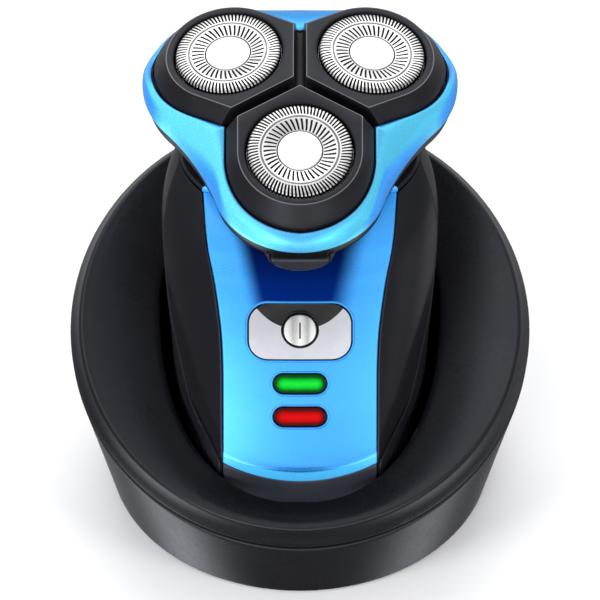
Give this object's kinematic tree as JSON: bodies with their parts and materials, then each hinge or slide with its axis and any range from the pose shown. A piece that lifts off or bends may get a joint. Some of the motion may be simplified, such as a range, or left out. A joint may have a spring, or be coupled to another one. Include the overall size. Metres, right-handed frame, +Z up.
{
  "type": "rotary electric shaver with charging dock",
  "caption": "Cordless rotary shaver standing in a slanted round charging dock: tilted three-lobed head with slotted foils, blue front, power button and charge lamps.",
  "frame": {"origin": "on the resting plane under the middle of the whole object's bounding box", "axes": "+Z up, front of the shaver and low side of the dock face -Y, +X to the right seen from above with the front towards the viewer"},
  "size_m": [0.1034, 0.0942, 0.1134],
  "materials": {
    "metallic_blue": "pearl metallic blue lacquer, high gloss",
    "gloss_black": "piano black moulded plastic",
    "satin_black": "satin black moulded plastic, ribbed at the grip",
    "dock_black": "soft-gloss black moulded plastic",
    "unit_black": "satin black moulded plastic with polished edge line",
    "dark_plastic": "fine-textured black plastic",
    "grey_plastic": "grey moulded plastic",
    "white_plastic": "natural acetal gears",
    "chrome": "mirror chrome plate",
    "brushed_metal": "brushed metal cap",
    "foil_steel": "ground steel with slots and a polished cap",
    "steel": "turned steel",
    "ballast_iron": "cast iron weight",
    "brass": "plated contact brass",
    "rubber": "soft rubber",
    "board": "green solder mask",
    "cell_wrap": "shrink wrap",
    "green_lens": "lit green lens",
    "red_lens": "lit red lens"
  },
  "bodies": {
    "dock": {"dock_ballast": "ballast_iron", "dock_base_shell": "dock_black", "dock_bottom_plate": "dark_plastic", "dock_circuit_board": "board", "dock_cradle_cup": "gloss_black", "dock_foot_1": "rubber", "dock_foot_2": "rubber", "dock_foot_3": "rubber", "dock_foot_4": "rubber", "dock_power_jack": "dark_plastic", "dock_screw_1": "steel", "dock_screw_2": "steel", "dock_screw_3": "steel", "dock_top_cover": "dock_black"},
    "dock_pin_left": {"dock_contact_pin_left": "brass"},
    "dock_pin_right": {"dock_contact_pin_right": "brass"},
    "handle": {"front_panel": "metallic_blue", "chin_panel": "satin_black", "side_panel_left": "gloss_black", "side_panel_right": "gloss_black", "rear_shell": "satin_black", "bottom_cap": "satin_black", "neck_collar": "satin_black", "trim_plate": "chrome", "led_lens_green": "green_lens", "led_lens_red": "red_lens", "inner_chassis": "grey_plastic", "chassis_screw_left": "steel", "chassis_screw_right": "steel", "circuit_board": "board", "battery": "cell_wrap", "motor": "steel", "motor_mount": "grey_plastic", "charge_contact_left": "brass", "charge_contact_right": "brass", "head_base": "satin_black", "gearbox_cover": "grey_plastic", "hinge_pin": "steel"},
    "power_button": {"power_button": "brushed_metal"},
    "release_button": {"release_button": "gloss_black"},
    "pinion": {"drive_pinion": "brass"},
    "head": {"head_skirt": "metallic_blue", "cutter_retainer": "dark_plastic"},
    "knob": {"retainer_knob": "grey_plastic"},
    "gear_front": {"drive_gear_front": "white_plastic", "drive_spindle_front": "white_plastic"},
    "unit_front": {"cutter_housing_front": "unit_black"},
    "foil_front": {"foil_front": "foil_steel"},
    "blades_front": {"inner_cutter_front": "steel"},
    "gear_left": {"drive_gear_left": "white_plastic", "drive_spindle_left": "white_plastic"},
    "unit_left": {"cutter_housing_left": "unit_black"},
    "foil_left": {"foil_left": "foil_steel"},
    "blades_left": {"inner_cutter_left": "steel"},
    "gear_right": {"drive_gear_right": "white_plastic", "drive_spindle_right": "white_plastic"},
    "unit_right": {"cutter_housing_right": "unit_black"},
    "foil_right": {"foil_right": "foil_steel"},
    "blades_right": {"inner_cutter_right": "steel"}
  },
  "joints": [
    {"name": "shaver_lift", "type": "slide", "parent": "dock", "child": "handle", "axis": [0, 0.342, 0.9397], "range_m": [0, 0.07]},
    {"name": "dock_pin_left_press", "type": "slide", "parent": "dock", "child": "dock_pin_left", "axis": [0, 0.342, 0.9397], "range_m": [-0.001, 0], "stiffness_N_per_m": 120, "springref_m": 0.0002},
    {"name": "dock_pin_right_press", "type": "slide", "parent": "dock", "child": "dock_pin_right", "axis": [0, 0.342, 0.9397], "range_m": [-0.001, 0], "stiffness_N_per_m": 120, "springref_m": 0.0002},
    {"name": "power_button_press", "type": "slide", "parent": "handle", "child": "power_button", "axis": [0, -0.8767, 0.481], "range_m": [-0.0008, 0], "stiffness_N_per_m": 400, "springref_m": 0.0002},
    {"name": "release_button_press", "type": "slide", "parent": "handle", "child": "release_button", "axis": [0, -0.9932, -0.1167], "range_m": [-0.0011, 0], "stiffness_N_per_m": 400, "springref_m": 0.0002},
    {"name": "motor_spin", "type": "hinge", "parent": "handle", "child": "pinion", "pos_m": [0, 0.00891, 0.09425], "axis": [0, -0.1167, 0.9932], "continuous": true},
    {"name": "head_open", "type": "hinge", "parent": "handle", "child": "head", "pos_m": [0, 0.03759, 0.10034], "axis": [-1, 0, 0], "range_deg": [0, 95]},
    {"name": "retainer_knob_turn", "type": "hinge", "parent": "head", "child": "knob", "pos_m": [0, 0.00839, 0.09862], "axis": [0, -0.1167, 0.9932], "range_deg": [0, 90]},
    {"name": "drive_gear_front_spin", "type": "hinge", "parent": "handle", "child": "gear_front", "pos_m": [0, -0.00879, 0.09217], "axis": [0, -0.1167, 0.9932], "continuous": true},
    {"name": "drive_gear_left_spin", "type": "hinge", "parent": "handle", "child": "gear_left", "pos_m": [-0.01543, 0.01776, 0.09529], "axis": [0, -0.1167, 0.9932], "continuous": true},
    {"name": "drive_gear_right_spin", "type": "hinge", "parent": "handle", "child": "gear_right", "pos_m": [0.01543, 0.01776, 0.09529], "axis": [0, -0.1167, 0.9932], "continuous": true},
    {"name": "unit_front_tilt", "type": "hinge", "parent": "head", "child": "unit_front", "pos_m": [0, -0.0106, 0.10478], "axis": [1, 0, 0], "range_deg": [-3, 3]},
    {"name": "foil_front_float", "type": "slide", "parent": "unit_front", "child": "foil_front", "axis": [0, -0.2538, 0.9673], "range_m": [-0.001, 0], "stiffness_N_per_m": 300, "springref_m": 0.0002},
    {"name": "blades_front_spin", "type": "hinge", "parent": "foil_front", "child": "blades_front", "pos_m": [0, -0.01067, 0.10507], "axis": [0, -0.2538, 0.9673], "continuous": true},
    {"name": "unit_left_tilt", "type": "hinge", "parent": "head", "child": "unit_left", "pos_m": [-0.01571, 0.01643, 0.10795], "axis": [-0.5, -0.8601, -0.101], "range_deg": [-3, 3]},
    {"name": "foil_left_float", "type": "slide", "parent": "unit_left", "child": "foil_left", "axis": [-0.1205, -0.0464, 0.9916], "range_m": [-0.001, 0], "stiffness_N_per_m": 300, "springref_m": 0.0002},
    {"name": "blades_left_spin", "type": "hinge", "parent": "foil_left", "child": "blades_left", "pos_m": [-0.01575, 0.01642, 0.10825], "axis": [-0.1205, -0.0464, 0.9916], "continuous": true},
    {"name": "unit_right_tilt", "type": "hinge", "parent": "head", "child": "unit_right", "pos_m": [0.01571, 0.01643, 0.10795], "axis": [-0.5, 0.8601, 0.101], "range_deg": [-3, 3]},
    {"name": "foil_right_float", "type": "slide", "parent": "unit_right", "child": "foil_right", "axis": [0.1205, -0.0464, 0.9916], "range_m": [-0.001, 0], "stiffness_N_per_m": 300, "springref_m": 0.0002},
    {"name": "blades_right_spin", "type": "hinge", "parent": "foil_right", "child": "blades_right", "pos_m": [0.01575, 0.01642, 0.10825], "axis": [0.1205, -0.0464, 0.9916], "continuous": true}
  ],
  "couplings": [
    {"joint": "drive_gear_front_spin", "follows": "motor_spin", "ratio": -0.83333},
    {"joint": "blades_front_spin", "follows": "motor_spin", "ratio": -0.83333},
    {"joint": "drive_gear_left_spin", "follows": "motor_spin", "ratio": -0.83333},
    {"joint": "blades_left_spin", "follows": "motor_spin", "ratio": -0.83333},
    {"joint": "drive_gear_right_spin", "follows": "motor_spin", "ratio": -0.83333},
    {"joint": "blades_right_spin", "follows": "motor_spin", "ratio": -0.83333}
  ]
}
